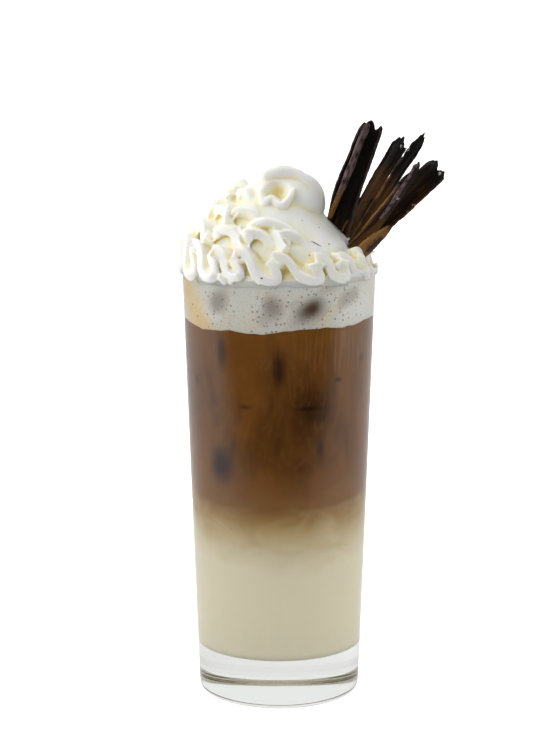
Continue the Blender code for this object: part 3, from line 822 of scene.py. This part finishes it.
# %% [markdown]
# ### One skin of cream
#
# The remesh turns all shapes into one closed skin. Broad soft lumps move it a little, and it is smoothed
# until the joints flow. The hollow under the curl is pressed in, as a sculptor would, and the front and the
# back are held to the depth of the solid. Last it is thinned to fewer triangles where it is flat.

# %% Fuse, soften and thin
CREAM_VOXEL = 0.36 * MM
CREAM_TRIANGLES = 190_000
LUMP_SIZE = 9 * MM
LUMP_HEIGHT = 1.0 * MM
# Middle, radius and depth of the hollow in millimetres, and the way it is pressed.
HOLLOW = ((-1.0, -11.5, 186.4), 6.2, 5.2)
PRESSED = (0.1, 1.0, -0.25)
FLATTER_FROM = 34.5 * MM
FLATTER_BY = 0.5

for obj in bpy.context.selected_objects:
    obj.select_set(False)
for obj in cream_shapes:
    obj.select_set(True)
bpy.context.view_layer.objects.active = cream_shapes[0]
bpy.ops.object.join()
cream = bpy.context.object
cream.name = cream.data.name = "whipped_cream_piped"
modify(cream, "REMESH", mode="VOXEL", voxel_size=CREAM_VOXEL)
lumps = bpy.data.textures.new("settled", "CLOUDS")
lumps.noise_scale = LUMP_SIZE
modify(cream, "DISPLACE", texture=lumps, texture_coords="LOCAL", strength=LUMP_HEIGHT)
modify(cream, "SMOOTH", factor=0.5, iterations=10)
baked(cream)

spots = points_of(cream)
middle, wide, deep = HOLLOW
away = np.linalg.norm(spots - np.array(middle) * MM, axis=1) / (wide * MM)
inward = np.array(PRESSED) / np.linalg.norm(PRESSED)
spots += np.where(away < 1, deep * MM * (1 - away * away) ** 2, 0)[:, None] * inward
beyond = np.maximum(0, np.abs(spots[:, 1]) - FLATTER_FROM)
spots[:, 1] -= FLATTER_BY * beyond * np.sign(spots[:, 1])
cream.data.vertices.foreach_set("co", spots.astype(np.float32).ravel())
modify(cream, "DECIMATE", ratio=min(1.0, CREAM_TRIANGLES / (2 * len(cream.data.polygons))))
baked(cream)
cream.data.shade_smooth()
cream.data.materials.clear()
cream.data.materials.append(cream_finish)
print("cream", triangles(cream), "triangles")

# %% [markdown]
# ### Cream finish
#
# Whipped cream is air and fat, so light goes in and comes out again. Shade is also painted into the pockets:
# deep pockets are painted butter-yellow and thin lips the whitest. How deep a point lies is measured on the
# mesh: the skin is smoothed strongly, and the distance from the smooth skin to the real one is kept as a
# number. The gloss is soft, like satin.

# %% Painted shade in the pockets, and satin
def smoothed(points, edges, rounds):
    """The points after each has moved to the mean of its neighbours, many times."""
    counts = np.bincount(edges.ravel(), minlength=len(points))[:, None]
    for _ in range(rounds):
        total = np.zeros_like(points)
        for column in range(3):
            total[:, column] = np.bincount(edges[:, 0], points[edges[:, 1], column], len(points))
            total[:, column] += np.bincount(edges[:, 1], points[edges[:, 0], column], len(points))
        points = 0.5 * points + 0.5 * total / counts
    return points


POCKET_ROUNDS = 60
spots = points_of(cream)
edges = read(cream.data.edges, "vertices", 2, np.int32)
normals = read(cream.data.vertex_normals, "vector", 3)
pocket_shade_depth = ((smoothed(spots, edges, POCKET_ROUNDS) - spots) * normals).sum(axis=1) / MM
store(cream, "pocket_shade_depth", pocket_shade_depth)
t = cream_tree
# Painted shade in the pockets: the deeper a point lies, the more butter-yellow it is painted, and thin lips
# are painted the whitest.
depth = spread(t, stored(t, "pocket_shade_depth"), -0.15, 0.7)
pocket_shade_colour = ramp(t, depth, (0, "#f9f8f2"), (0.45, "#f8f3dd"), (1, "#f0dfa0"))
pores = noisy(t, add(t, "ShaderNodeTexCoord").outputs["Object"], 900.0, 3.0)
bump = add(t, "ShaderNodeBump", inputs={"Height": pores, "Strength": 0.12, "Distance": 0.1 * MM})
fill(t, cream_shader, {
    "Base Color": pocket_shade_colour, "Normal": bump, "Roughness": 0.38, "Subsurface Weight": 1.0,
    "Subsurface Scale": 1.0, "Subsurface Radius": (1.6 * MM, 1.3 * MM, 0.8 * MM)})
print("pockets from", round(float(pocket_shade_depth.min()), 2), "to", round(float(pocket_shade_depth.max()), 2), "mm")

# %% [markdown]
# ## Cinnamon quills
#
# A quill is bark that curled as it dried. These two were split and then burnt at the tips, so each is a fan
# of strips that spread from one foot, and each strip is a trough with torn ends. A strip is made as a closed
# sheet over a curved middle surface: low ridges follow its fibres, the outline is ragged, and the long edges
# roll over. Numbers stored on it say how burnt each point is, how strongly its edge carries a painted
# highlight, and how ashy it is. Narrow slots in its face are charred.

# %% Strips of bark
BARK_THICKNESS = 1.5 * MM
# foot and tip (tip as x and z), side: how far back the tip leans, half widths at foot, middle and tip, bow:
# how far the middle swings aside, all in millimetres. curl: half the angle of the arc at foot and tip,
# opening: which way the trough faces, in degrees. peak: how pointed the tip is. burn: where along the strip
# the charcoal begins, on the face and within the trough. Then how strongly the left and the right edge carry
# a painted pinkish-grey highlight, and where that painted highlight begins, tan: how pale the unburnt bark
# is.
LEFT_QUILL = (
    dict(foot=(18.5, -2.0, 161.0), tip=(33.6, 209.8), side=-1.0, widths=(4.2, 4.5, 3.6),
         curl=(75, 100), opening=5, bow=-1.4, peak=0.05, burn=(0.20, 0.28),
         rim_highlight=(0.4, 0.35), rim_highlight_from=0.85, tan=0.0, seed=1.0),
    dict(foot=(20.5, -0.5, 161.0), tip=(44.8, 204.0), side=3.0, widths=(3.4, 2.9, 3.2),
         curl=(50, 40), opening=-30, bow=-0.4, peak=0.06, burn=(0.70, 0.74),
         rim_highlight=(0.0, 0.5), rim_highlight_from=0.86, tan=0.15, seed=2.0),
    dict(foot=(18.0, -2.6, 176.0), tip=(31.4, 209.9), side=-1.0, widths=(0.35, 0.8, 0.85),
         curl=(80, 80), opening=160, bow=0.2, peak=0.02, burn=(0.25, 0.25),
         rim_highlight=(1.0, 1.0), rim_highlight_from=-0.6, tan=0.5, seed=7.0),
)
RIGHT_QUILL = (
    dict(foot=(22.0, -8.0, 159.0), tip=(51.8, 206.6), side=5.0, widths=(2.4, 1.8, 1.9),
         curl=(55, 45), opening=20, bow=-0.5, peak=0.10, burn=(0.66, 0.62),
         rim_highlight=(0.1, 0.1), rim_highlight_from=0.9, tan=0.1, seed=3.0),
    dict(foot=(22.5, -9.0, 159.0), tip=(47.4, 192.4), side=2.0, widths=(2.8, 2.5, 1.5),
         curl=(50, 55), opening=-20, bow=0.4, peak=0.10, burn=(0.80, 0.86),
         rim_highlight=(0.6, 0.2), rim_highlight_from=0.8, tan=0.3, seed=4.0),
    dict(foot=(21.4, -9.5, 159.6), tip=(57.6, 195.0), side=1.0, widths=(2.4, 3.6, 4.4),
         curl=(80, 85), opening=-15, bow=0.0, peak=0.05, burn=(0.40, 0.86),
         rim_highlight=(0.2, 0.4), rim_highlight_from=0.88, tan=0.0, seed=5.0),
    dict(foot=(36.4, -10.6, 176.2), tip=(49.6, 196.6), side=0.5, widths=(0.7, 1.1, 0.7),
         curl=(60, 40), opening=165, bow=0.4, peak=0.06, burn=(0.0, 0.0),
         rim_highlight=(0.1, 1.0), rim_highlight_from=0.0, tan=0.0, seed=6.0),
    dict(foot=(23.6, -11.6, 158.6), tip=(40.2, 174.6), side=0.6, widths=(1.9, 2.2, 1.3),
         curl=(60, 60), opening=172, bow=-0.4, peak=0.3, burn=(1.0, 1.0),
         rim_highlight=(0.5, 0.3), rim_highlight_from=0.80, tan=0.5, seed=8.0),
)
# Flakes of ash on the front: across, up and radius in millimetres.
ASH_FLAKES = (
    (19.8, 182.0, 0.7), (19.2, 180.6, 0.5), (20.8, 185.0, 0.5), (57.5, 192.0, 0.8), (58.0, 188.0, 0.6),
    (48.6, 181.0, 0.8), (46.3, 178.6, 0.6), (42.0, 184.0, 0.6), (43.8, 201.5, 0.8), (46.0, 200.6, 0.7),
)
# Charred slots on the front: from one point to another (across, up), and the half width, in millimetres.
SLOTS = (
    (31.4, 165.6, 36.0, 169.6, 0.9), (23.6, 171.0, 26.6, 176.6, 0.7), (29.6, 175.4, 33.4, 182.0, 0.6),
    (40.0, 184.0, 45.0, 189.6, 0.8), (44.0, 178.6, 49.4, 184.6, 0.9),
)
STRIP_ACROSS = 44
STRIP_ALONG = 150


def rough(a, b, c):
    return noise.noise(Vector((a, b, c)))


def ash_at(here, u, v, seed):
    """How much ash the flakes leave at a point on the front of a strip."""
    ash = 0.0
    for x, z, radius in ASH_FLAKES:
        away = math.hypot(here.x / MM - x, here.z / MM - z) / radius
        if away < 2:
            ash += 1.5 * math.exp(-away * away) * (0.6 + rough(u * 9, v * 60, seed + 47))
    return ash


def slot_at(here):
    """How black the slots make a point on the front of a strip."""
    black = 0.0
    for x0, z0, x1, z1, half_width in SLOTS:
        dx, dz, x, z = x1 - x0, z1 - z0, here.x / MM - x0, here.z / MM - z0
        share = min(1.0, max(0.0, (x * dx + z * dz) / (dx * dx + dz * dz)))
        ragged = half_width * (1 + 0.8 * rough(share * 5, x0, 3))
        away = math.hypot(x - share * dx, z - share * dz) / ragged
        if away < 2:
            black = max(black, 0.9 * math.exp(-away ** 3))
    return black


def bark_strip(foot, tip, side, widths, curl, opening, bow, peak, burn, rim_highlight, rim_highlight_from, tan, seed):
    """Points, faces and numbers of one strip of curled bark from foot to tip."""
    start = Vector(foot) * MM
    end = Vector((tip[0], foot[1] + side, tip[1])) * MM
    length = (end - start).length
    axis = (end - start).normalized()
    across = -Vector((0, -1, 0)).cross(axis).normalized()
    outward = axis.cross(across).normalized()
    if outward.y > 0:
        outward = -outward
    turn = math.radians(opening)
    beside = across * math.cos(turn) + outward * math.sin(turn)
    towards = outward * math.cos(turn) - across * math.sin(turn)

    def middle(u, v):
        width = widths[0] + (widths[1] - widths[0]) * min(1.0, 2 * v)
        width += (widths[2] - widths[1]) * max(0.0, 2 * v - 1)
        width += 0.5 * v * rough(5 * v, u * 0.8, seed)
        width += 0.35 * abs(u) ** 4 * rough(22 * v, math.copysign(3, u), seed + 5)
        angle = math.radians(curl[0] + (curl[1] - curl[0]) * v)
        radius = width / math.sin(min(angle, math.pi / 2))
        torn = 0.05 * rough(u * 2.3, seed, 4.0) + 0.014 * rough(u * 6.0, seed, 8.0)
        reach = 1 - v**3 * (peak * abs(u) ** 1.6 + torn)
        spot = start + axis * (length * v * reach) + across * (bow * math.sin(math.pi * v) * MM)
        spot += beside * (radius * math.sin(u * angle) * MM)
        return spot - towards * (radius * (math.cos(u * angle) - math.cos(angle)) * MM)

    columns = np.linspace(-1, 1, STRIP_ACROSS + 1)
    rows = np.linspace(0, 1, STRIP_ALONG + 1)
    step = 0.004
    layers, facts = ([], []), ([], [])
    for v in rows:
        for u in columns:
            here = middle(u, v)
            sidewards = middle(u + step, v) - middle(u - step, v)
            normal = sidewards.cross(middle(u, v + step) - middle(u, v - step)).normalized()
            inwards = 1.0 if normal.dot(towards) > 0 else -1.0
            rounded = math.sqrt(max(0.0, 1 - abs(u) ** 14)) * math.sqrt(max(0.02, 1 - v**60))
            for layer, sign in ((0, 1), (1, -1)):
                fibre = rough(u * 7, v * 3, seed + 9 * layer) + 0.5 * rough(u * 18, v * 5, seed + 9 * layer)
                lumps = rough(u * 2.5, v * 9, seed + 17 + layer)
                half = BARK_THICKNESS / 2 * (1 - 0.3 * abs(u) ** 4) * max(0.12, rounded)
                relief = (0.13 * fibre + 0.16 * lumps) * MM * rounded
                layers[layer].append(here + normal * sign * (half + relief))
                trough = sign * inwards > 0
                starts = burn[1] if trough else burn[0]
                tongues = 0.16 * rough(u * 4, v * 1.5, seed + 31) + 0.08 * rough(u * 12, v * 4, seed + 33)
                black = min(1.0, max(0.0, (v + tongues - starts) / 0.14 + 0.5))
                # Painted highlight: how much of the pinkish-grey highlight the rolled long edges get, kept as
                # the edge number.
                rim_highlight_weight = rim_highlight[0] if u < 0 else rim_highlight[1]
                edge = min(1.0, max(0.0, (abs(u) - rim_highlight_from) / 0.2)) * rim_highlight_weight
                edge *= max(0.0, 0.7 + 1.3 * rough(u * 3, v * 14, seed + 37))
                ash = 0.5 * rough(u * 6, v * 26, seed + 41) + 0.4 * rough(u * 15, v * 60, seed + 43)
                if sign * normal.y < 0:
                    ash += ash_at(here, u, v, seed)
                    black = max(black, slot_at(here))
                facts[layer].append((u, v, black, edge, ash, 1.0 if trough else 0.0, tan))
    wide = len(columns)
    count = wide * len(rows)
    faces = []
    for j in range(STRIP_ALONG):
        for i in range(STRIP_ACROSS):
            a, b = j * wide + i, j * wide + i + 1
            faces.append((a, b, b + wide, a + wide))
            faces.append((count + a, count + a + wide, count + b + wide, count + b))
    last = STRIP_ALONG * wide
    border = [(j * wide, (j + 1) * wide) for j in range(STRIP_ALONG)]
    border += [(b + STRIP_ACROSS, a + STRIP_ACROSS) for a, b in border]
    border += [pair for i in range(STRIP_ACROSS) for pair in ((i + 1, i), (last + i, last + i + 1))]
    faces += [(a, b, count + b, count + a) for a, b in border]
    return layers[0] + layers[1], faces, facts[0] + facts[1]


FACTS = ("across", "along", "black", "edge", "ash", "trough", "tan", "strip")


def quill(name, strips, finish):
    """All strips of a quill in one mesh, with their numbers for the finish."""
    points, faces, facts = [], [], []
    for strip in strips:
        p, f, n = bark_strip(**strip)
        faces += [tuple(i + len(points) for i in face) for face in f]
        facts += [(*fact, strip["seed"]) for fact in n]
        points += p
    made = mesh_object(name, points, faces, finish)
    for column, fact in enumerate(FACTS):
        store(made, fact, [row[column] for row in facts])
    return made


# %% [markdown]
# ### Charred bark finish
#
# Dry cinnamon bark is a warm brown, matt outside and smoother within, with darker streaks along its fibres.
# The inside of each trough is darkened as painted shade. Fire turned the upper part to charcoal: nearly
# black, with a faint silky gloss. Its rolled edges carry a painted pinkish-grey highlight, and where the char
# flaked off it left specks of white ash.

# %% Charred cinnamon bark
bark_finish, t, bark_shader = finish_named("charred_cinnamon_bark", Specular_IOR_Level=0.3)
fact = {name: stored(t, name) for name in FACTS}
sheet_place = add(t, "ShaderNodeCombineXYZ", inputs={0: fact["across"], 1: fact["along"], 2: fact["strip"]})
fibres = noisy(t, scaled(t, sheet_place, (8.0, 1.8, 7.0)), 1.3, 7.0, Roughness=0.6, Distortion=0.5)
brown = ramp(t, fibres, (0.32, "#140902"), (0.42, "#3a240f"), (0.55, "#6a4620"), (0.72, "#b08249"))
# Painted shade: the inside of each trough is darkened.
shaded = mixed(t, fact["trough"], brown, "#9c8c78", blend_type="MULTIPLY")
tanned = mixed(t, calc(t, "MULTIPLY", fact["tan"], 0.62), shaded, "#b08048")
charcoal = mixed(t, fibres, "#030202", "#1a120d")
colour = mixed(t, fact["black"], tanned, charcoal)
# Painted highlight on the rolled edges: pinkish grey on charcoal, paler brown on unburnt bark.
rim_highlighted = mixed(t, fact["edge"], colour, mixed(t, fact["black"], "#7d5629", "#6b5655"))
ashy = mixed(t, spread(t, fact["ash"], 0.55, 0.85), rim_highlighted, "#b9aeab")
silky = spread(t, fact["black"], 0.0, 1.0, 0.70, 0.50)
bump = add(t, "ShaderNodeBump", inputs={"Height": fibres, "Strength": 0.5, "Distance": 0.35 * MM})
fill(t, bark_shader, {"Base Color": ashy, "Roughness": silky, "Normal": bump})

left_quill = quill("cinnamon_quill_left", LEFT_QUILL, bark_finish)
right_quill = quill("cinnamon_quill_right", RIGHT_QUILL, bark_finish)
print("quills", triangles(left_quill), triangles(right_quill), "triangles")

# %% [markdown]
# ### Crumbs of char
#
# Burnt bark sheds: a thin splinter and a few crumbs lie on the smooth slope of the cream. Each is dropped
# straight onto the cream from the front, so that it rests on the surface and sinks in by a third of its
# thickness.

# %% Splinter and crumbs
# Across and up in millimetres, long, thick, and its turn in degrees.
CRUMBS = (
    (13.0, 169.0, 4.2, 0.32, 32), (17.6, 168.4, 0.7, 0.4, 0), (8.2, 176.5, 0.4, 0.3, 0),
    (14.2, 173.8, 0.35, 0.3, 40), (-6.0, 158.6, 0.9, 0.5, 10), (10.6, 165.4, 0.5, 0.3, 70),
)
# Along a crumb: the place of each ring of points, and its share of the thickness.
CRUMB_RINGS = ((-0.5, 0.25), (-0.2, 1.0), (0.25, 0.8), (0.5, 0.2))
CRUMB_SIDES = 6
IN_FRONT = -80 * MM
points, faces = [], []
for x, z, long, thick, turn in CRUMBS:
    _, spot, normal, _ = cream.ray_cast(Vector((x * MM, IN_FRONT, z * MM)), Vector((0, 1, 0)))
    along = Vector((math.cos(math.radians(turn)), 0, -math.sin(math.radians(turn))))
    along = (along - normal * along.dot(normal)).normalized()
    beside = normal.cross(along)
    base = len(points)
    raised = normal * (thick * MM / 6)
    for end, size in CRUMB_RINGS:
        for k in range(CRUMB_SIDES):
            a = k * 2 * math.pi / CRUMB_SIDES
            around = beside * math.cos(a) + normal * math.sin(a)
            points.append(spot + along * (end * long * MM) + around * (size * thick * MM / 2) + raised)
    starts = [base + ring * CRUMB_SIDES for ring in range(len(CRUMB_RINGS))]
    for low, high in zip(starts, starts[1:]):
        for k in range(CRUMB_SIDES):
            n = (k + 1) % CRUMB_SIDES
            faces.append((low + k, low + n, high + n, high + k))
    faces.append(tuple(starts[0] + k for k in reversed(range(CRUMB_SIDES))))
    faces.append(tuple(starts[-1] + k for k in range(CRUMB_SIDES)))
char_finish, _, _ = finish_named("char", Roughness=0.6, Base_Color=paint("#2a2420"))
crumbs = mesh_object("char_crumbs", points, faces, char_finish)
print(len(CRUMBS), "crumbs,", triangles(crumbs), "triangles")

# %% [markdown]
# ## Put it together
#
# Every piece rides on the one body of the part and stands for its solids.

# %% Ride and replace
for piece, nodes, finish_slot in (
    (glass, ("glass",), "clear_glass"), (drink, ("milk_layer", "coffee_layer"), "milky_coffee"),
    (foam, ("foam_layer",), "milk_foam"), (cream, ("whipped_cream",), "whipped_cream"),
    (left_quill, ("left_quill",), "cinnamon_bark"), (right_quill, ("right_quill",), "cinnamon_bark"),
):
    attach(piece, "root")
    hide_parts(*nodes)
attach(crumbs, "root")
